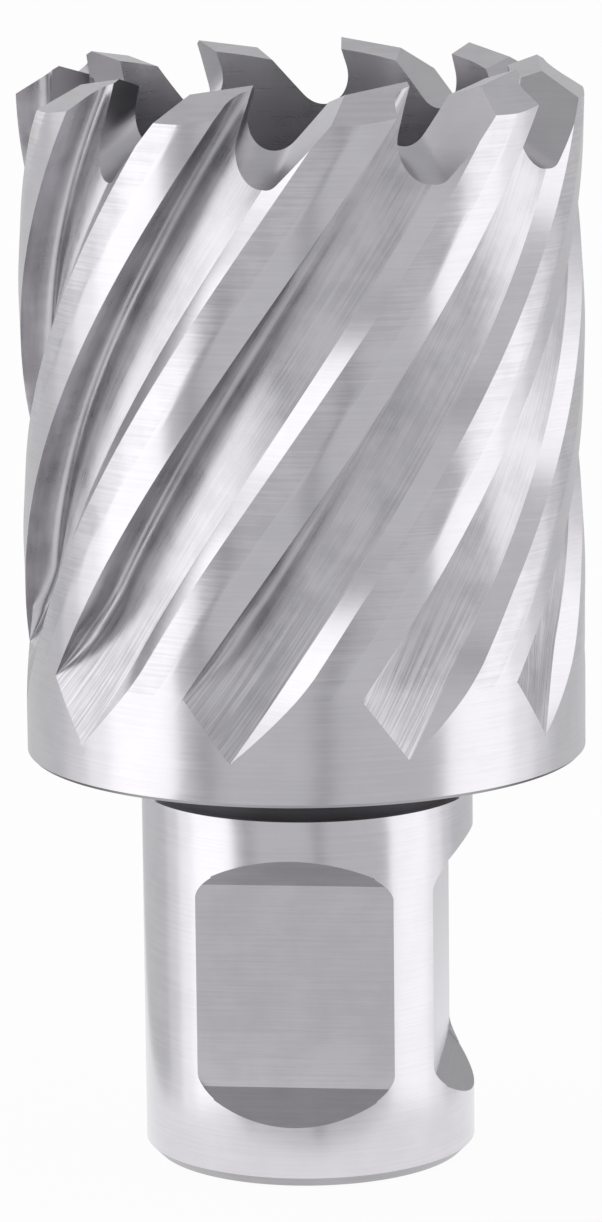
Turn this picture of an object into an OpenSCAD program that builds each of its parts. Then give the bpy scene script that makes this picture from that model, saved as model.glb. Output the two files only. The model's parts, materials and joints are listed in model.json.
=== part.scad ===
// One-piece annular cutter with a flatted shank, standing on the shank end, teeth up.
// The frame's front is -Y. Angles in the tooth plan are counted from the front towards +X.

/* [Cutter] */
// Cutting diameter
cut_d = 32; // [28:0.5:40]
// Overall length, shank end to tooth tips
overall_l = 63; // [60:0.5:75]
// Diameter of the core that the cup takes up
cup_d = 23.6; // [18:0.2:24]
// Depth of cut, tooth tips to the shoulder inside the cup
cut_depth = 33; // [28:0.5:34]
// Diameter of the through bore for the ejector pin
pilot_d = 6.4; // [5:0.1:8]

/* [Shank] */
// Shank diameter
shank_d = 19.05; // [18:0.05:20]
// Height of the collar's underside above the shank end
collar_z = 23.6; // [22:0.1:26]
// Diameter of the relief neck under the collar
neck_d = 17.5; // [16:0.1:18]
// Height of the relief neck
neck_h = 2.3; // [1:0.1:3]
// Chamfer round the shank end
shank_chamfer = 0.6; // [0.3:0.1:1]
// Chamfer at both mouths of the pilot bore
bore_chamfer = 0.4; // [0.2:0.1:0.8]
// Corner radius round the cup's floor
cup_fillet = 1; // [0.5:0.1:2]
// Edge break on the collar's lower rim
rim_break = 0.2; // [0.1:0.05:0.5]

/* [Drive flats] */
// Depth of each flat below the shank's surface
flat_depth = 1.84; // [1:0.02:2.2]
// Length of a flat's floor
flat_l = 11.8; // [9:0.1:13]
// Height of the middle of the flats
flat_z = 11.3; // [10.5:0.1:12]
// Turn of the first flat from the front
flat_turn = -6; // [-20:1:20]

/* [Teeth] */
// Number of teeth and of flutes
teeth = 10; // [8:1:12]
// Helix, degrees of turn for each millimetre of height
helix_rate = 2.52; // [2:0.02:3]
// Angle of a flute's rake wall at the tip height
rake_turn = 23.4; // [0:0.1:36]
// Angle of a flute from rake wall to heel edge
flute_angle = 23.5; // [20:0.5:25]
// Depth of a flute at its rake wall
rake_depth = 2.2; // [1.6:0.1:2.6]
// Depth of a flute at its heel foot
heel_depth = 1.1; // [0.8:0.1:1.5]
// Angle of the heel wall's foot ahead of the rake wall
heel_foot_angle = 18.5; // [15:0.5:19]
// Corner radius between rake wall and flute floor
flute_fillet = 0.7; // [0.3:0.1:1]
// Height above the collar's underside where the rake corner runs out
rake_runout = 5.9; // [5:0.1:8]
// Height above the collar's underside where the heel foot runs out
heel_runout = 2.4; // [1.5:0.1:4]
// Height over which a flute floor rises to its run-out
runout_l = 5; // [3:0.5:8]

/* [Gullets] */
// Fall of a gullet's floor towards the outside
gullet_slope = 31; // [20:1:40]
// Turn of a gullet from straight outwards, back under the cutting edge
gullet_skew = 10; // [0:1:15]
// Depth of a gullet at the cup's wall, below the tips
gullet_depth = 3.75; // [3:0.05:4.5]
// Radius of a gullet's floor
gullet_r = 1.45; // [1:0.05:1.7]
// Angle of a gullet's floor ahead of the cutting edge
gullet_lead = 3.7; // [2:0.1:5]
// Angle of the cutting edge ahead of the flute's rake wall
edge_lead = 2.6; // [1.5:0.1:4]
// Lean of the rake face from upright
rake_lean = 18; // [10:1:25]
// Lean of a tooth's back from upright
back_lean = 45; // [35:1:50]

/* [Tooth tops] */
// Distance of a tooth's ridge from the axis
ridge_r = 13.54; // [13:0.02:14.5]
// Fall of the outer bevel
outer_bevel = 30; // [20:1:35]
// Fall of the inner bevel
inner_bevel = 15; // [5:1:25]
// Relief behind the cutting edge
relief = 9; // [5:1:14]
// Turn of a tooth's top from straight along the rim
top_skew = 6; // [0:1:12]

/* [Hidden] */
steel = [0.74, 0.74, 0.76];
$fn = 96;

cut_r = cut_d / 2;
cup_r = cup_d / 2;
shank_r = shank_d / 2;
neck_r = neck_d / 2;
pilot_r = pilot_d / 2;
cup_floor_z = overall_l - cut_depth;
pitch = 360 / teeth;

// Sweep stations of a flute: close together over the run-out, wider above it
over = 1.2;
under = 0.4;
station_step = 2;
rake_end_z = collar_z + rake_runout;
heel_end_z = collar_z + heel_runout;
run_top_z = rake_end_z + runout_l;
run_steps = 8;
run_l = run_top_z - heel_end_z + under;
flute_z = concat(
    [for (i = [0 : run_steps]) run_top_z - run_l + i * run_l / run_steps],
    [for (z = [run_top_z + station_step : station_step : overall_l - station_step / 4]) z],
    [overall_l + over]);

// Share of a flute's full depth that is left at a height: 1 above the run-out, below 0 past its end
runout_curve = 1.6;
least_left = -0.6;
function left(z, end_z) =
    max(least_left, 1 - pow(max(0, (end_z + runout_l - z) / runout_l), runout_curve));

function polar(r, a) = [r * sin(a), r * cos(a)];
function along(p, q, t) = p + (q - p) * t;

// Corner points of a flute across the axis: x along the surface, y outwards, the rake wall at x = 0
wall_hook = 0.18;
heel_reach = 3.2;
clear = 2.4;
fillet_steps = 3;
function wall_foot(z) = [-wall_hook, cut_r - rake_depth * left(z, rake_end_z)];
function heel_foot(z) = polar(cut_r - heel_depth * left(z, heel_end_z), heel_foot_angle);
function heel_way() =
    let (d = polar(cut_r, flute_angle) - polar(cut_r - heel_depth, heel_foot_angle)) d / norm(d);

function fillet(z) =
    let (foot = wall_foot(z), floor_way = (heel_foot(z) - foot) / norm(heel_foot(z) - foot))
    [for (i = [0 : fillet_steps])
        let (t = i / fillet_steps,
             up = foot + [0, flute_fillet],
             side = foot + floor_way * flute_fillet)
        along(along(up, foot, t), along(foot, side, t), t)];

function flute_section(z) = concat(
    [[wall_hook, cut_r + clear]],
    fillet(z),
    [heel_foot(z), heel_foot(z) + heel_way() * heel_reach, polar(cut_r + clear, flute_angle / 2)]);

function turned(p, a, z) = [p.x * cos(a) + p.y * sin(a), p.x * sin(a) - p.y * cos(a), z];

// One flute: its section carried up the helix, with flat ends
module flute() {
    sections = [for (z = flute_z)
        let (a = rake_turn + helix_rate * (z - overall_l))
        [for (p = flute_section(z)) turned(p, a, z)]];
    n = len(sections[0]);
    m = len(sections);
    points = [for (s = sections) each s];
    sides = [for (j = [0 : m - 2], i = [0 : n - 1])
        let (k = (i + 1) % n)
        each [[j * n + i, j * n + k, (j + 1) * n + i],
              [j * n + k, (j + 1) * n + k, (j + 1) * n + i]]];
    ends = [[for (i = [n - 1 : -1 : 0]) i], [for (i = [0 : n - 1]) (m - 1) * n + i]];
    polyhedron(points = points, faces = concat(sides, ends), convexity = 6);
}

// Places its children at an angle from the front, x along the surface and y outwards
module at_turn(a) {
    rotate([0, 0, a - 180]) mirror([1, 0, 0]) children();
}

// Side view of a gullet, seen from outside: a round floor, the leaning rake face and the tooth's back
module gullet_outline() {
    reach = 14;
    squash = cos(gullet_slope);
    rake_way = [tan(rake_lean), squash] / norm([tan(rake_lean), squash]);
    back_way = [tan(back_lean), squash] / norm([tan(back_lean), squash]);
    centre = [0, gullet_r];
    rake_low = centre + gullet_r * [-rake_way.y, rake_way.x];
    back_low = centre + gullet_r * [back_way.y, -back_way.x];
    translate(centre) circle(r = gullet_r);
    polygon([rake_low, rake_low + reach * rake_way, back_low + reach * back_way, back_low]);
}

// A gullet through the wall, falling outwards and skewed back under the cutting edge
module gullet() {
    inside = 8;
    outside = 12;
    translate([0, cup_r, overall_l - gullet_depth])
        rotate([0, 0, gullet_skew]) rotate([90 - gullet_slope, 0, 0])
            translate([0, 0, -outside]) linear_extrude(height = outside + inside) gullet_outline();
}

// Everything above the two bevels of one tooth, falling away behind the cutting edge
module tooth_top() {
    back = 6;
    front = 2;
    tall = 6;
    inner = 4;
    outer = 5;
    translate([0, ridge_r, overall_l])
        rotate([0, 0, top_skew]) rotate([0, -relief, 0])
            translate([front, 0, 0]) rotate([90, 0, -90]) linear_extrude(height = back + front)
                polygon([[inner, -inner * tan(inner_bevel)], [0, 0], [-outer, -outer * tan(outer_bevel)],
                         [-outer, tall], [inner, tall]]);
}

// A drive flat with a 45 degree ramp at each end
module drive_flat() {
    half = flat_l / 2;
    rise = 2 * flat_depth;
    translate([-shank_r, shank_r - flat_depth, flat_z]) rotate([90, 0, 90])
        linear_extrude(height = shank_d)
            polygon([[0, -half], [0, half], [rise, half + rise], [rise, -half - rise]]);
}

// Outline that is turned round the axis: shank, neck, collar and body outside, cup and pilot bore inside
module blank() {
    rotate_extrude()
        polygon(concat(
            [[pilot_r + bore_chamfer, 0], [shank_r - shank_chamfer, 0], [shank_r, shank_chamfer],
             [shank_r, collar_z - neck_h], [neck_r, collar_z - neck_h], [neck_r, collar_z],
             [cut_r - rim_break, collar_z], [cut_r, collar_z + rim_break], [cut_r, overall_l],
             [cup_r, overall_l]],
            [for (i = [0 : fillet_steps])
                let (a = 90 * i / fillet_steps)
                [cup_r - cup_fillet * (1 - cos(a)), cup_floor_z + cup_fillet * (1 - sin(a))]],
            [[pilot_r + bore_chamfer, cup_floor_z], [pilot_r, cup_floor_z - bore_chamfer],
             [pilot_r, bore_chamfer]]));
}

module annular_cutter() {
    color(steel)
        difference() {
            blank();
            for (turn = [flat_turn, flat_turn + 90]) at_turn(turn) drive_flat();
            for (k = [0 : teeth - 1]) {
                rotate([0, 0, k * pitch]) flute();
                at_turn(rake_turn + edge_lead + k * pitch) tooth_top();
                at_turn(rake_turn + edge_lead + gullet_lead + k * pitch) gullet();
            }
        }
}

annular_cutter();
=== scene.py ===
import json
import math

import bpy
import numpy as np
from mathutils import Matrix, Vector


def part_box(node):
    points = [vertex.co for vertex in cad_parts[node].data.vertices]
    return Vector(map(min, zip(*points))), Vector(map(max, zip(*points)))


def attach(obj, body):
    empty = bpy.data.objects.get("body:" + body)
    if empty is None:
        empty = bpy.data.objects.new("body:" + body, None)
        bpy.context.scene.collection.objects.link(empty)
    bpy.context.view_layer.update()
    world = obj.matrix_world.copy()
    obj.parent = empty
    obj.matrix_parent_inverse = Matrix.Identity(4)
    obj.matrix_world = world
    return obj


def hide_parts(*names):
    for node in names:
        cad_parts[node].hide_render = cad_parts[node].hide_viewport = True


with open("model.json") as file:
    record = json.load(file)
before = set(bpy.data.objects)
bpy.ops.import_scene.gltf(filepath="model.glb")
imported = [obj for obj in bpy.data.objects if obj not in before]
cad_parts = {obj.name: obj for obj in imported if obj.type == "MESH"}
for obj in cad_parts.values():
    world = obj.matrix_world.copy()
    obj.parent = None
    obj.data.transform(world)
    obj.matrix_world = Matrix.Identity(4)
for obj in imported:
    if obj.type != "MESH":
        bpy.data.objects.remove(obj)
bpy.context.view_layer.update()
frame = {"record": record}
scene = bpy.context.scene
mm = 0.001  # sizes below are in millimetres, meshes are in metres
mountDims = {mount["name"]: mount["dims"] for mount in frame["record"]["mounts"]}
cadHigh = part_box("annular_cutter")[1]
print("frame loaded")


# Shader maths as expressions: a socket with operators, and one method that every other node comes from
class Shade:
    def __init__(self, tree, socket=None):
        self.tree = tree
        self.socket = socket

    def node(self, kind, settings=None, inputs=None, output=0):
        made = self.tree.nodes.new(kind)
        for name, value in (settings or {}).items():
            setattr(made, name, value)
        for name, value in (inputs or {}).items():
            plug(self.tree, made.inputs[name], value)
        return Shade(self.tree, made.outputs[output])

    def out(self, output):
        return Shade(self.tree, self.socket.node.outputs[output])

    def maths(self, operation, first, second=0.0):
        return self.node("ShaderNodeMath", {"operation": operation}, {0: first, 1: second})

    def vector(self, operation, other):
        return self.node("ShaderNodeVectorMath", {"operation": operation}, {0: self, 1: other})

    def smooth(self, low, high, toLow=0.0, toHigh=1.0):
        return self.node("ShaderNodeMapRange", {"interpolation_type": "SMOOTHSTEP"},
                         {0: self, 1: low, 2: high, 3: toLow, 4: toHigh})

    def blend(self, first, second):
        return self.node("ShaderNodeMix", {"data_type": "RGBA"}, {0: self, 6: first, 7: second}, 2)

    def blendShaders(self, first, second):
        return self.node("ShaderNodeMixShader", None, {0: self, 1: first, 2: second})

    def __add__(self, other):
        return self.maths("ADD", self, other)

    def __radd__(self, other):
        return self.maths("ADD", other, self)

    def __sub__(self, other):
        return self.maths("SUBTRACT", self, other)

    def __rsub__(self, other):
        return self.maths("SUBTRACT", other, self)

    def __mul__(self, other):
        return self.maths("MULTIPLY", self, other)

    def __rmul__(self, other):
        return self.maths("MULTIPLY", other, self)

    def __abs__(self):
        return self.maths("ABSOLUTE", self)


def plug(tree, socket, value):
    if isinstance(value, Shade):
        tree.links.new(value.socket, socket)
    else:
        socket.default_value = value


def startMaterial(name):
    material = bpy.data.materials.new(name)
    material.use_nodes = True
    return material, material.node_tree, material.node_tree.nodes["Principled BSDF"]


# Bright ground steel: fine marks drawn out along one way, over a soft cloudiness
steelLook = {
    "colour": (0.715, 0.70, 0.735),
    "markWidth": 0.16,   # mm, between grinding marks
    "markLength": 7.0,   # mm
    "cloud": 2.4,        # mm, size of the cloudiness
    "markNoise": {"Scale": 1.0, "Detail": 3.0, "Roughness": 0.65},
    "cloudNoise": {"Detail": 3.0, "Roughness": 0.55},
    "markRange": (0.75, 1.25),    # where marks and cloudiness together turn from dark to light
    "streak": 0.32,               # strength of the flutes' streaks at the run-out, and their tone
    "streakTone": 0.3,
    "streakRange": (0.62, 0.4),   # where the marks turn from no streak to a full one
    "streakFade": (29.0, 36.0),   # mm, heights between which the streaks fade
}
# way of the marks, roughness and its spread, depth of the marks in mm, tone, and how far marks darken it
steelKinds = {
    "turnedShank": ("round", 0.20, 0.08, 0.00022, 1.0, 0.06),
    "groundLand": ("round", 0.20, 0.10, 0.0013, 0.99, 0.14),
    "edgeLand": ("round", 0.18, 0.05, 0.0006, 1.0, 0.06),
    "milledFlute": ("helix", 0.31, 0.24, 0.0022, 1.0, 0.22),
    "heelWall": ("round", 0.22, 0.05, 0.0005, 1.02, 0.06),
    "gulletFace": ("round", 0.36, 0.05, 0.0004, 0.74, 0.06),
    "bevelFace": ("round", 0.24, 0.05, 0.0006, 0.86, 0.08),
    "flatFace": ("round", 0.30, 0.08, 0.0020, 1.04, 0.10),
    # chamfer tone 0.58 is painted shade: it darkens the flats' ramps, the collar's rim and, as a painted
    # contact shadow, the shank's end
    "chamferFace": ("round", 0.34, 0.08, 0.0020, 0.58, 0.10),
    # cup wall tone 0.80 is painted shade inside the cup
    "cupWall": ("round", 0.28, 0.06, 0.0003, 0.80, 0.06),
    # neck tone 0.13 is painted shade under the collar
    "neckGroove": ("round", 0.50, 0.05, 0.0020, 0.13, 0.10),
}


def groundSteel(name, way, roughness, spread, markDepth, tone, dim):
    look = steelLook
    material, tree, shader = startMaterial(name)
    place = Shade(tree).node("ShaderNodeTexCoord").out("Object")
    fine = 1 / (look["markWidth"] * mm)
    coarse = 1 / (look["markLength"] * mm)
    stretched = place.vector("MULTIPLY", (coarse, coarse, fine))
    if way == "helix":  # along the flutes: the angle past the helix at each height, and the height itself
        parts = place.node("ShaderNodeSeparateXYZ", None, {0: place})
        turn = parts.maths("ARCTAN2", parts.out(0), -1 * parts.out(1))
        past = turn - parts.out(2) * (math.radians(fluteSize["helixRate"]) / mm)
        stretched = place.node("ShaderNodeCombineXYZ", None, {
            0: past * (cutterSize["cutR"] * mm * fine), 2: parts.out(2) * coarse})
    marks = place.node("ShaderNodeTexNoise", None, {"Vector": stretched, **look["markNoise"]})
    cloud = place.node("ShaderNodeTexNoise", None, {
        "Vector": place, "Scale": 1 / (look["cloud"] * mm), **look["cloudNoise"]})
    light = tuple(channel * tone for channel in look["colour"]) + (1,)
    dark = tuple(channel * tone * (1 - dim) for channel in look["colour"]) + (1,)
    colour = (cloud + marks).smooth(*look["markRange"]).blend(dark, light)
    if way == "helix":  # the cutter's streaks stand out towards the run-out
        fadeLow, fadeHigh = look["streakFade"]
        low = parts.out(2).smooth(fadeLow * mm, fadeHigh * mm, 1.0, 0.0)
        streak = marks.smooth(*look["streakRange"])
        streakColour = tuple(channel * look["streakTone"] for channel in light[:3]) + (1,)
        colour = (low * streak * look["streak"]).blend(colour, streakColour)
    plug(tree, shader.inputs["Base Color"], colour)
    plug(tree, shader.inputs["Roughness"], roughness + (cloud + marks - 1.0) * spread)
    plug(tree, shader.inputs["Normal"], marks.node("ShaderNodeBump", None, {
        "Strength": 1.0, "Distance": markDepth * mm, "Height": marks}))
    shader.inputs["Metallic"].default_value = 1.0
    return material


# The cutter, in millimetres, with what the frame gives taken from the frame
cutterSize = {
    "cutR": cadHigh[0] / mm,
    "length": cadHigh[2] / mm,
    "cupR": 11.8,
    "cupFloor": 30.0,
    "cupFillet": 1.0,
    "shankR": mountDims["shank"]["r_mm"],
    "pilotR": mountDims["pilot_bore"]["r_mm"],
    "boreChamfer": 0.4,
    "shankChamfer": 0.6,
    "collarZ": 23.6,
    "neckR": 8.75,
    "neckHeight": 2.3,
    "rimBreak": 0.2,
    "ringInset": 1.0,     # spacing of the first ring past an edge
    "cupRings": 23,
    "cornerRings": 9,
    "boreRings": 8,
    "shankRings": 9,
    "sharpFrom": 13.0,    # degrees between faces that keep a sharp edge
}
fluteSize = {
    "teeth": 10,
    "helixRate": 2.52,    # degrees a millimetre
    "rakeTurn": 23.4,     # degrees from the front, at the tips
    "rakeDepth": 2.2,
    "rakeHook": 0.18,
    "fillet": 1.0,
    "floorBow": 0.14,     # the floor's middle stands out by this much
    "heelDepth": 0.92,
    "heelFoot": 18.5,     # degrees ahead of the rake wall
    "heelEdge": 23.5,
    "rakeEnd": 29.5,      # heights where the floor comes out of the surface
    "heelEnd": 26.0,
    "runOut": 5.0,
    "runOutCurve": 1.6,
    "leastShare": -0.6,   # how far the floor's line goes on outside the surface
    "filletShare": 0.7,   # most of the wall's height that the corner takes up
    "spread": 0.03,       # degrees, keeps grid columns apart in the run-out
    "heelRelief": 0.16,   # the land falls a little to both sides of its middle
    "edgeRelief": 0.07,
    "columns": (4, 10, 14, 4, 10),  # grid columns on wall, fillet, floor, heel wall and land
    "rows": (4, 64, 72),  # grid rows below, over and above the run-out
    "rowsAbove": 1.5,     # the run-out's rows end this far above it
    "rowCrowding": 1.3,   # and crowd towards its tip
    "sunkFrom": 0.004,    # depth below the surface that counts as milled
}


def polar(radius, degrees):
    angle = np.radians(degrees)
    return np.stack(np.broadcast_arrays(radius * np.sin(angle), radius * np.cos(angle)), -1)


def between(first, last, share):
    return first + (last - first) * share


# Section of the fluted body at each height, x along the surface and y outwards at the rake wall:
# straight wall, quadratic corner, floor bowed out as a parabola, straight heel wall, then the land's arc.
# In the run-out the floor starts on a line straight across the cylinder, and columns before it lie on that.
def flutedRows(heights):
    cut, flute = cutterSize, fluteSize
    z = heights[:, None]

    def share(end):
        past = np.clip((end + flute["runOut"] - z) / flute["runOut"], 0, None)
        return np.clip(1 - past ** flute["runOutCurve"], flute["leastShare"], 1)

    fade = np.clip((z - flute["rakeEnd"]) / flute["runOut"], 0, 1)
    heelR = cut["cutR"] - flute["heelRelief"] * fade
    edgeR = cut["cutR"] - flute["edgeRelief"] * fade
    depthShare = share(flute["rakeEnd"])
    wallHeight = flute["rakeDepth"] * np.clip(depthShare, 0, 1)
    fillet = np.minimum(flute["fillet"], flute["filletShare"] * wallHeight)[..., None]
    footX = -flute["rakeHook"] * np.clip(depthShare, 0, 1)
    foot = np.stack([footX, cut["cutR"] - flute["rakeDepth"] * depthShare], -1)
    heelFoot = polar(cut["cutR"] - flute["heelDepth"] * share(flute["heelEnd"]), flute["heelFoot"])
    floorLine = heelFoot - foot
    floorWay = floorLine / np.linalg.norm(floorLine, axis=-1, keepdims=True)
    outside = depthShare < 0
    across = (flute["rakeEnd"] - z) / (flute["rakeEnd"] - flute["heelEnd"])
    startAngle = flute["heelFoot"] * np.clip(across, 0, 1)
    floorStart = np.where(outside[..., None], polar(cut["cutR"], startAngle), foot + floorWay * fillet)
    heelEdge = polar(cut["cutR"], flute["heelEdge"])
    heelWay = heelEdge - polar(cut["cutR"] - flute["heelDepth"], flute["heelFoot"])
    heelWay = heelWay / np.linalg.norm(heelWay)
    along = (heelFoot * heelWay).sum(-1)
    reach = np.sqrt(np.clip(along ** 2 - (heelFoot ** 2).sum(-1) + heelR ** 2, 0, None)) - along
    heelTop = heelFoot + heelWay * np.clip(reach, 0, None)[..., None]
    corner = foot + np.array([0, 1]) * fillet

    steps = [np.linspace(0, 1, count, endpoint=False)[None, :, None] for count in flute["columns"]]
    wall = between(polar(edgeR, 0.0), corner, steps[0])
    bend = between(between(corner, foot, steps[1]), between(foot, floorStart, steps[1]), steps[1])
    bow = flute["floorBow"] * np.clip(depthShare, 0, 1)[..., None] * 4 * steps[2] * (1 - steps[2])
    floor = between(floorStart, heelFoot, steps[2]) + bow * floorWay[..., ::-1] * (-1, 1)
    heel = between(heelFoot, heelTop, steps[3])
    points = np.concatenate([wall, bend, floor, heel], 1)
    radius = np.minimum(np.hypot(points[..., 0], points[..., 1]), cut["cutR"])
    angle = np.degrees(np.arctan2(points[..., 0], points[..., 1]))
    before = sum(flute["columns"][:2])
    angle[:, :before] = np.where(outside, startAngle * np.arange(before) / before, angle[:, :before])
    landStart = np.degrees(np.arctan2(heelTop[..., 0], heelTop[..., 1]))
    landShare = steps[4][..., 0]
    pitch = 360 / flute["teeth"]
    landR = np.where(landShare < 0.5, between(heelR, cut["cutR"], landShare * 2),
                     between(cut["cutR"], edgeR, landShare * 2 - 1))
    radius = np.concatenate([radius, np.minimum(landR, cut["cutR"])], 1)
    angle = np.concatenate([angle, between(landStart, pitch, landShare)], 1)

    column = np.arange(angle.shape[1])
    apart = np.maximum.accumulate(angle - column * flute["spread"], 1) + column * flute["spread"]
    angle = np.where(outside, apart, angle)
    below = np.clip((flute["heelEnd"] - z) / (flute["heelEnd"] - cut["collarZ"]), 0, 1)
    angle = between(angle, column * pitch / len(column), below)
    turns = np.arange(flute["teeth"]) * pitch + flute["rakeTurn"]
    helix = flute["helixRate"] * (z - cut["length"])
    whole = angle[:, None, :] + turns[None, :, None] + helix[:, None, :]
    radius = np.repeat(radius[:, None, :], flute["teeth"], 1)
    return radius.reshape(len(heights), -1), whole.reshape(len(heights), -1)


# Closed grid of the blank: up the fluted outside, over the rim, down the cup and the bore, up the shank.
# Each row is a ring; rings past the fluted ones are circles that turn back evenly to where the first began.
def blankGrid():
    cut, flute = cutterSize, fluteSize
    shoulder = cut["collarZ"] - cut["neckHeight"]
    bottom = cut["collarZ"] + cut["rimBreak"]
    tip = flute["heelEnd"]
    above = flute["rakeEnd"] + flute["rowsAbove"]
    inset = cut["ringInset"]
    lowRows, middleRows, highRows = flute["rows"]
    crowded = np.linspace(0, 1, middleRows, endpoint=False) ** flute["rowCrowding"]
    heights = np.concatenate([
        np.linspace(bottom, tip, lowRows, endpoint=False),
        tip + (above - tip) * crowded,
        np.linspace(above, cut["length"], highRows)])
    radius, angle = flutedRows(heights)
    quarter = np.radians(np.linspace(0, 90, cut["cornerRings"]))
    cupHeights = np.linspace(cut["length"], cut["cupFloor"] + 2 * inset, cut["cupRings"])
    cupWall = [(cut["cupR"], height) for height in cupHeights]
    cupCorner = zip(cut["cupR"] - cut["cupFillet"] * (1 - np.cos(quarter)),
                    cut["cupFloor"] + cut["cupFillet"] * (1 - np.sin(quarter)))
    boreTop = [(cut["pilotR"] + cut["boreChamfer"], cut["cupFloor"]),
               (cut["pilotR"], cut["cupFloor"] - cut["boreChamfer"])]
    boreHeights = np.linspace(cut["cupFloor"] - inset, inset, cut["boreRings"])
    boreWall = [(cut["pilotR"], height) for height in boreHeights]
    shankEnd = [(cut["pilotR"], cut["boreChamfer"]), (cut["pilotR"] + cut["boreChamfer"], 0),
                (cut["shankR"] - cut["shankChamfer"], 0), (cut["shankR"], cut["shankChamfer"])]
    shankHeights = np.linspace(2 * inset, shoulder - inset, cut["shankRings"])
    shankWall = [(cut["shankR"], height) for height in shankHeights]
    neck = [(cut["shankR"], shoulder), (cut["neckR"], shoulder), (cut["neckR"], cut["collarZ"]),
            (cut["cutR"] - cut["rimBreak"], cut["collarZ"])]
    ring = np.array([*cupWall, *cupCorner, *boreTop, *boreWall, *shankEnd, *shankWall, *neck])
    turnBack = np.linspace(0, 1, len(ring) + 2)[1:-1, None]
    ringAngle = angle[-1][None] + (angle[0] - angle[-1])[None] * turnBack
    radius = np.concatenate([radius, np.repeat(ring[:, :1], radius.shape[1], 1)])
    angle = np.radians(np.concatenate([angle, ringAngle]))
    height = np.concatenate([heights, ring[:, 1]])[:, None]
    spots = np.stack(np.broadcast_arrays(radius * np.sin(angle), -radius * np.cos(angle), height), -1)
    return spots * mm, len(heights)


# Quads between neighbouring rows and columns, closed both ways
def closedQuads(rows, columns):
    row, column = np.meshgrid(np.arange(rows), np.arange(columns), indexing="ij")
    nextRow, nextColumn = (row + 1) % rows, (column + 1) % columns
    return np.stack([row * columns + column, row * columns + nextColumn,
                     nextRow * columns + nextColumn, nextRow * columns + column], -1).reshape(-1, 4)


def meshObject(name, spots, faces, slots, faceSlot):
    mesh = bpy.data.meshes.new(name)
    mesh.from_pydata(spots.reshape(-1, 3), [], faces)
    for material in slots:
        mesh.materials.append(material)
    numbers = np.broadcast_to(faceSlot, len(mesh.polygons)).astype(np.int32)
    mesh.polygons.foreach_set("material_index", numbers)
    mesh.update()
    piece = bpy.data.objects.new(name, mesh)
    scene.collection.objects.link(piece)
    return piece


# Straight bars: one flat outline carried along an axis, once for each frame of origin and three axes
def barsObject(name, outline, start, end, frames, slots, faceSlot):
    count = len(outline)
    ends = np.stack([np.column_stack([outline, np.full(count, at)]) for at in (start, end)])
    spots = np.stack([origin + ends.reshape(-1, 3) @ axes for origin, axes in frames])
    side = np.arange(count)
    after = (side + 1) % count
    quads = np.stack([side, after, after + count, side + count], -1).tolist()
    shape = quads + [side[::-1].tolist(), (side + count).tolist()]
    shifts = [copy * 2 * count for copy in range(len(frames))]
    faces = [[point + shift for point in face] for shift in shifts for face in shape]
    return meshObject(name, spots * mm, faces, slots, faceSlot)


gulletSize = {
    "slope": 28.0,    # fall towards the outside
    "skew": 10.0,     # turned back under the cutting edge
    "depth": 3.75,    # below the tips at the cup's wall
    "radius": 1.55,
    "edgeLead": 2.6,  # degrees from the flute's wall to the cutting edge
    "lead": 3.7,      # degrees from the cutting edge to the gullet
    "rakeLean": 18.0,
    "backLean": 45.0,
    "above": 1.2,
    "topReach": 1.45,  # the bar's height over that of the gullet and what is above it
    "arcSteps": 28,
    "inside": 3.0,    # reach of the cutting bar each way from the cup's wall
    "outside": 9.0,
}
toothSize = {
    "ridgeR": 13.54,
    "outerBevel": 30.0,
    "innerBevel": 15.0,
    "relief": 9.0,
    "turnIn": 6.0,
    "inner": 3.2,       # reach of the cutting bar on all sides
    "outer": 4.0,
    "front": 2.0,
    "back": 6.0,
    "tall": 5.0,
}
flatSize = {
    "depth": 1.84,
    "floor": 11.8,
    "middle": 11.3,
    "turns": (-6.0, 84.0),
    "blunt": 0.65,    # reach of the drawn-in corners
    "bluntCurve": ((0, -1.1), (-0.15, -0.15), (-1.5, 0.85)),  # their curve's points, in that reach
    "bluntSteps": 9,
    "clear": 1.0,     # how far the cutting bars go past the flat
}


# Axes at an angle from the front: along the surface, outwards and up
def standingAxes(degrees):
    angle = math.radians(degrees)
    along = (math.cos(angle), math.sin(angle), 0)
    outwards = (math.sin(angle), -math.cos(angle), 0)
    return np.array([along, outwards, (0, 0, 1)])


def turned(axes, about, degrees):
    spin = Matrix.Rotation(math.radians(degrees), 3, Vector(axes[about]))
    return np.array([spin @ Vector(axis) for axis in axes])


# A gullet seen along its floor: an arc between the two tangent lines of the rake face and the tooth's back
def gulletOutline():
    size = gulletSize
    squash = math.cos(math.radians(size["slope"]))
    rakeWay = np.array([math.tan(math.radians(size["rakeLean"])), squash])
    backWay = np.array([math.tan(math.radians(size["backLean"])), squash])
    rakeWay, backWay = rakeWay / np.linalg.norm(rakeWay), backWay / np.linalg.norm(backWay)
    first = math.atan2(rakeWay[0], -rakeWay[1])
    last = math.atan2(-backWay[0], backWay[1]) + 2 * math.pi
    arc = np.linspace(first, last, size["arcSteps"])
    bend = size["radius"] * np.column_stack([np.cos(arc), 1 + np.sin(arc)])
    top = (size["depth"] + size["above"]) * size["topReach"]
    rakeTop = bend[0] + rakeWay * (top - bend[0][1]) / rakeWay[1]
    backTop = bend[-1] + backWay * (top - bend[-1][1]) / backWay[1]
    return np.concatenate([rakeTop[None], bend, backTop[None]])


def gulletFrames():
    size = gulletSize
    frames = []
    for tooth in range(fluteSize["teeth"]):
        turn = fluteSize["rakeTurn"] + size["edgeLead"] + size["lead"] + tooth * 360 / fluteSize["teeth"]
        axes = standingAxes(turn)
        origin = axes[1] * cutterSize["cupR"] + axes[2] * (cutterSize["length"] - size["depth"])
        axes = turned(axes, 2, -size["skew"])
        axes = turned(axes, 0, size["slope"])
        frames.append((origin, np.array([axes[0], axes[2], axes[1]])))
    return frames


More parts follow.
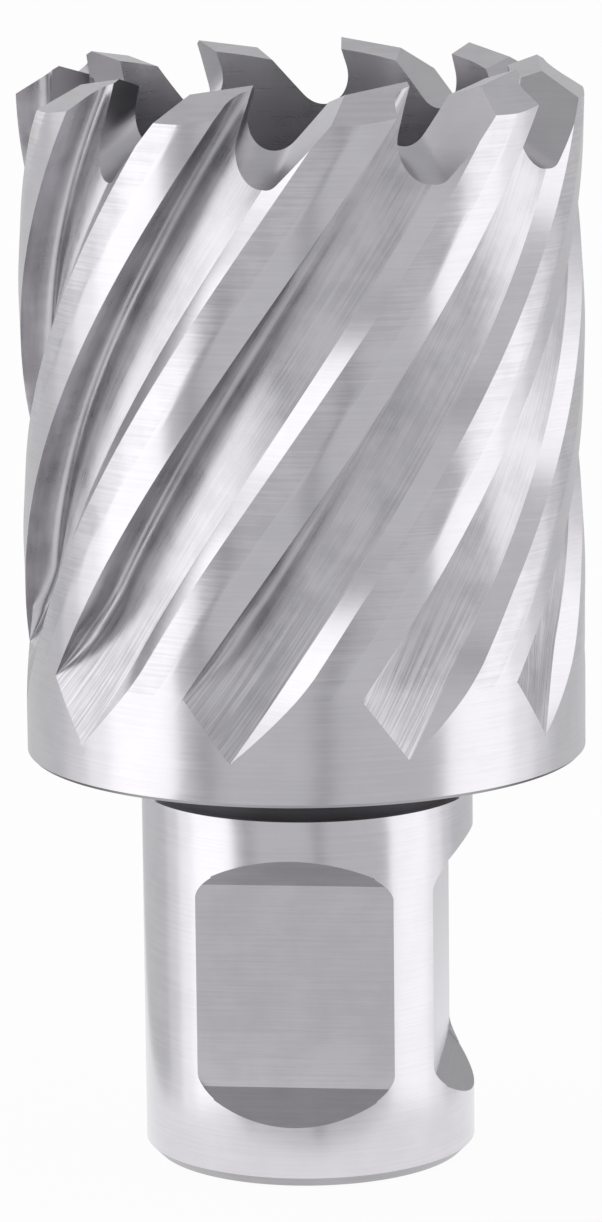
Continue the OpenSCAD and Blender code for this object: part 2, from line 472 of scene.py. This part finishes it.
# What is cut off above a tooth: the two bevels' lines from the ridge, closed above
def roofOutline():
    size = toothSize
    outerFall = size["outer"] * math.tan(math.radians(size["outerBevel"]))
    innerFall = size["inner"] * math.tan(math.radians(size["innerBevel"]))
    outerSide = [(size["outer"], -outerFall), (size["outer"], size["tall"])]
    innerSide = [(-size["inner"], size["tall"]), (-size["inner"], -innerFall)]
    return np.array([*outerSide, *innerSide, (0, 0)])


def toothFrames():
    frames = []
    for tooth in range(fluteSize["teeth"]):
        turn = fluteSize["rakeTurn"] + gulletSize["edgeLead"] + tooth * 360 / fluteSize["teeth"]
        axes = standingAxes(turn)
        origin = axes[1] * toothSize["ridgeR"] + axes[2] * cutterSize["length"]
        axes = turned(axes, 2, -toothSize["turnIn"])
        axes = turned(axes, 1, toothSize["relief"])
        frames.append((origin, np.array([axes[1], axes[2], -axes[0]])))
    return frames


# A drive flat from the side: its floor and a 45 degree ramp at each end
def flatOutline():
    half = flatSize["floor"] / 2
    rise = 2 * flatSize["depth"]
    return np.array([(0, -half), (rise, -half - rise), (rise, half + rise), (0, half)])


# A drive flat from the front: as wide as its floor, with each corner drawn in along a quadratic curve
def flatFace():
    half = flatSize["floor"] / 2
    wide = math.sqrt(cutterSize["shankR"] ** 2 - (cutterSize["shankR"] - flatSize["depth"]) ** 2)
    blunt = flatSize["blunt"]
    share = np.linspace(0, 1, flatSize["bluntSteps"])[:, None]
    first, knee, last = np.array(flatSize["bluntCurve"]) * blunt
    curve = between(between(first, knee, share), between(knee, last, share), share)
    rampEnd = (wide - 2 * blunt, half + 2 * flatSize["depth"])
    corner = np.concatenate([np.array([wide, half]) + curve, [rampEnd]])
    right = np.concatenate([corner[::-1] * (1, -1), corner])
    return np.concatenate([right, right[::-1] * (-1, 1)])


def flatFrames():
    frames = []
    for turn in flatSize["turns"]:
        axes = standingAxes(turn)
        origin = axes[1] * (cutterSize["shankR"] - flatSize["depth"]) + axes[2] * flatSize["middle"]
        frames.append((origin, axes))
    return frames


# Bars that cut the drive flats: the side view carried across, kept within the front view carried outwards
def flatBars():
    # the ramps take the darker chamfer tone, which is painted shade
    slot, ramp = slotOf["flatFace"], slotOf["chamferFace"]
    barSlots = np.tile([ramp, slot, ramp, slot, slot, slot], len(flatSize["turns"]))  # as the outline runs
    wide, clear = cutterSize["shankR"], flatSize["clear"]
    sideways = [(origin, np.array([axes[1], axes[2], -axes[0]])) for origin, axes in flatFrames()]
    outwards = [(origin, np.array([axes[0], axes[2], axes[1]])) for origin, axes in flatFrames()]
    bars = barsObject("flatBars", flatOutline(), -wide, wide, sideways, steels, barSlots)
    reach = 2 * flatSize["depth"] + clear
    keep = barsObject("flatFaces", flatFace(), -clear, reach, outwards, steels, slot)
    shapeWith(bars, keep, "INTERSECT")
    return bars


def shapeWith(piece, other, operation):
    modifier = piece.modifiers.new("shape", "BOOLEAN")
    modifier.operation = operation
    modifier.solver = "MANIFOLD"
    modifier.object = other
    modifier.material_mode = "INDEX"
    shaped = piece.evaluated_get(bpy.context.evaluated_depsgraph_get())
    mesh = bpy.data.meshes.new_from_object(shaped)
    piece.modifiers.clear()
    old = piece.data
    piece.data = mesh
    print(" ", piece.name, operation.lower(), other.name, "leaves", len(mesh.polygons), "faces")
    bpy.data.meshes.remove(old)
    bpy.data.objects.remove(other)


steels = [groundSteel(name, *kind) for name, kind in steelKinds.items()]
slotOf = {name: number for number, name in enumerate(steelKinds)}
print("steel finishes made")


# Finish of each quad of the blank: turned outside the flutes' heights, and within them milled where it lies
# under the cutting radius, smooth on the heel wall, and on the land first marked and then smooth.
# The cup, the neck's wall, the collar's rim and the shank's end chamfer have finishes of their own, whose
# darker tones are painted shade.
def blankSlots(spots, flutedCount):
    cut, flute = cutterSize, fluteSize
    rows, columns = spots.shape[:2]
    heelColumns, landColumns = flute["columns"][-2:]
    perTooth = sum(flute["columns"])
    landFrom = perTooth - landColumns
    row, column = np.meshgrid(np.arange(rows), np.arange(columns), indexing="ij")
    column = column % perTooth
    radius = np.hypot(spots[..., 0], spots[..., 1]) / mm
    height = spots[..., 2] / mm
    fluted = row < flutedCount - 1
    lowest = np.minimum(radius, np.roll(radius, (-1, -1), (0, 1)))
    sunk = fluted & (lowest < cut["cutR"] - flute["sunkFrom"])
    onLand = fluted & (column >= landFrom) & (height > flute["rakeEnd"])
    inCup = (radius < cut["cupR"] + flute["sunkFrom"]) & (height > cut["cupFloor"])
    endChamfer = (height < cut["shankChamfer"] / 2) & (radius > cut["shankR"] - 2 * cut["shankChamfer"])
    neckRow, rimRow = -3, -1  # the last rows are the neck's wall, the collar's underside and its rim
    slots = np.full((rows, columns), slotOf["turnedShank"])
    slots[onLand] = slotOf["groundLand"]
    slots[onLand & (column >= perTooth - landColumns // 2)] = slotOf["edgeLand"]
    slots[sunk & (column < landFrom)] = slotOf["milledFlute"]
    slots[sunk & (column < landFrom) & (column >= landFrom - heelColumns)] = slotOf["heelWall"]
    # the cup's darker tone is painted shade inside the cup
    slots[inCup] = slotOf["cupWall"]
    # the neck's near-black tone is painted shade under the collar
    slots[neckRow] = slotOf["neckGroove"]
    # the rim's darker tone is painted shade over its reflection of the ground, and the end chamfer's is a
    # painted contact shadow
    slots[rimRow] = slotOf["chamferFace"]
    slots[endChamfer] = slotOf["chamferFace"]
    return slots.ravel()


spots, flutedCount = blankGrid()
quads = closedQuads(*spots.shape[:2])
cutter = meshObject("cutterBody", spots, quads, steels, blankSlots(spots, flutedCount))
print("blank", spots.shape[0], "by", spots.shape[1])

shapeWith(cutter, flatBars(), "DIFFERENCE")
for first in (0, 1):  # every second tooth at a time, so that neighbouring bars never overlap
    gullets = barsObject("gulletBars", gulletOutline(), -gulletSize["inside"], gulletSize["outside"],
                         gulletFrames()[first::2], steels, slotOf["gulletFace"])
    shapeWith(cutter, gullets, "DIFFERENCE")
    roofs = barsObject("roofBars", roofOutline(), -toothSize["front"], toothSize["back"],
                       toothFrames()[first::2], steels, slotOf["bevelFace"])
    shapeWith(cutter, roofs, "DIFFERENCE")
cutter.data.shade_smooth()
cutter.data.set_sharp_from_angle(angle=math.radians(cutterSize["sharpFrom"]))
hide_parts("annular_cutter")
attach(cutter, "root")
print("cutter cut,", len(cutter.data.polygons), "faces")


# Plain white sweep as wide as the photograph's view, with soft borders; eye, mirror and glass see it white,
# and it keeps the shadow
floorLook = {
    "front": -0.0155,   # metres: where it begins, and half its width on the axis
    "half": 0.0184,
    "widening": 0.06,   # a metre of depth adds this much to the half width
    "border": 0.005,    # width of the soft border
    "depth": 1.6,
    "colour": 0.86,
    "roughness": 0.9,
    "lift": 0.95,       # share of its own white that is seen over the shaded floor
}


def paleFloor():
    look = floorLook
    material, tree, shader = startMaterial("paleFloor")
    shader.inputs["Base Color"].default_value = (look["colour"], look["colour"], look["colour"], 1)
    shader.inputs["Roughness"].default_value = look["roughness"]
    path = Shade(tree).node("ShaderNodeLightPath")
    seen = path.maths("MAXIMUM", path.out("Is Camera Ray"), path.out("Is Glossy Ray"))
    seen = path.maths("MAXIMUM", seen, path.out("Is Transmission Ray"))
    white = path.node("ShaderNodeEmission")
    lit = (seen * look["lift"]).blendShaders(Shade(tree, shader.outputs[0]), white)
    place = path.node("ShaderNodeTexCoord").out("Object")
    parts = place.node("ShaderNodeSeparateXYZ", None, {0: place})
    aside = abs(parts.out(0)) - parts.out(1) * look["widening"] - look["half"]
    ahead = look["front"] - parts.out(1)
    past = place.maths("MAXIMUM", aside, ahead)
    faded = past.smooth(0.0, look["border"]).blendShaders(lit, place.node("ShaderNodeBsdfTransparent"))
    plug(tree, tree.nodes["Material Output"].inputs["Surface"], faded)
    return material


def makeFloor():
    look = floorLook
    near = look["front"] - look["border"]
    nearHalf = look["half"] + look["border"]
    farHalf = nearHalf + look["widening"] * look["depth"]
    nearSide = [(-nearHalf, near, 0), (nearHalf, near, 0)]
    farSide = [(farHalf, look["depth"], 0), (-farHalf, look["depth"], 0)]
    meshObject("floor", np.array(nearSide + farSide), [(0, 1, 2, 3)], [paleFloor()], 0)


makeFloor()
print("floor laid")

# Studio: a grey room with a dark ring below, a bright ground and two dark seams, and tall soft boxes
# on both sides that fade outwards
studio = {
    "room": 0.64,
    "dark": 0.12,                 # strength of the ring
    "darkEdge": (-0.60, -0.30),   # sine of the heights where the room is wholly dark and wholly grey
    "ground": 0.92,               # strength straight down
    "groundEdge": (-0.82, -0.68),
    "seam": 0.42,
    "seams": ((-42, 0.04), (7, 0.04)),  # degrees from the front, width
    "seamSoft": 3,                # times its width that a seam takes to fade
    "seamAhead": 0.2,             # keeps a seam to its own side of the room
    # degrees from the front, width in degrees, lower and upper edge in metres, brightness over the room
    "boxes": (
        (-70, 34, -0.55, 0.95, 0.82),
        (-94, 14, -0.55, 0.95, 0.55),
        (-108, 14, -0.55, 0.95, 0.2),
        (75, 34, -0.55, 0.95, 0.7),
        (99, 14, -0.55, 0.95, 0.45),
        (112, 12, -0.55, 0.95, 0.15),
        (-128, 50, 0.0, 1.0, 0.78),
    ),
}


def studioRoom():
    world = bpy.data.worlds.new("studioRoom")
    scene.world = world
    world.use_nodes = True
    tree = world.node_tree
    way = Shade(tree).node("ShaderNodeTexCoord").out("Generated")
    parts = way.node("ShaderNodeSeparateXYZ", None, {0: way})
    across, depth, height = parts.out(0), parts.out(1), parts.out(2)

    def glow(strength):
        return way.node("ShaderNodeBackground", None, {"Color": (1, 1, 1, 1), "Strength": strength})

    room = glow(studio["room"])
    for degrees, width in studio["seams"]:
        turn = math.radians(degrees)
        aside = abs(across * math.cos(turn) + depth * math.sin(turn))
        ahead = across * math.sin(turn) - depth * math.cos(turn)
        narrow = aside.smooth(0.0, studio["seamSoft"] * width, 1.0, 0.0)
        seam = narrow * ahead.smooth(0.0, studio["seamAhead"])
        room = seam.blendShaders(room, glow(studio["seam"]))
    room = height.smooth(*studio["darkEdge"], 1.0, 0.0).blendShaders(room, glow(studio["dark"]))
    room = height.smooth(*studio["groundEdge"], 1.0, 0.0).blendShaders(room, glow(studio["ground"]))
    plug(tree, tree.nodes["World Output"].inputs["Surface"], room)


# A soft box one metre off, as wide as it looks from the cutter; watts = brightness x pi x area
def softBox(name, degrees, widthDegrees, low, high, brightness):
    light = bpy.data.lights.new(name, "AREA")
    light.shape = "RECTANGLE"
    light.size = 2 * math.tan(math.radians(widthDegrees / 2))
    light.size_y = high - low
    light.energy = brightness * math.pi * light.size * light.size_y
    lamp = bpy.data.objects.new(name, light)
    turn = math.radians(degrees)
    out = Vector((math.sin(turn), -math.cos(turn), 0))
    lamp.location = out + Vector((0, 0, (low + high) / 2))
    lamp.rotation_euler = out.to_track_quat("Z", "Y").to_euler()
    lamp.visible_camera = False
    scene.collection.objects.link(lamp)


studioRoom()
for number, box in enumerate(studio["boxes"]):
    softBox(f"softBox{number}", *box)
print("studio lit")

# Camera as fitted to the photograph, with distances in millimetres and pixels of its 602 by 1222 frame
cameraFit = {
    "distance": 324.66,
    "elevation": 11.244,
    "roll": -0.625,
    "aim": 31.464,
    "focal": 5677.1,
    "frame": (602, 1222),
    "centre": 305.2,
    "sensor": 36,
    "clipStart": 0.01,  # metres
}


def photoCamera():
    fit = cameraFit
    camera = bpy.data.cameras.new("camera")
    camera.sensor_width = fit["sensor"]
    camera.lens = fit["focal"] / fit["frame"][1] * camera.sensor_width
    camera.shift_x = -(fit["centre"] - fit["frame"][0] / 2) / fit["frame"][1]
    camera.clip_start = fit["clipStart"]
    lift = math.radians(fit["elevation"])
    back = Vector((0, -math.cos(lift), math.sin(lift)))
    holder = bpy.data.objects.new("camera", camera)
    holder.location = Vector((0, 0, fit["aim"] * mm)) + back * fit["distance"] * mm
    roll = Matrix.Rotation(math.radians(fit["roll"]), 3, "Z")
    holder.rotation_euler = (back.to_track_quat("Z", "Y").to_matrix() @ roll).to_euler()
    scene.collection.objects.link(holder)
    scene.camera = holder


photoCamera()
scene.view_settings.view_transform = "Standard"
print("camera set")
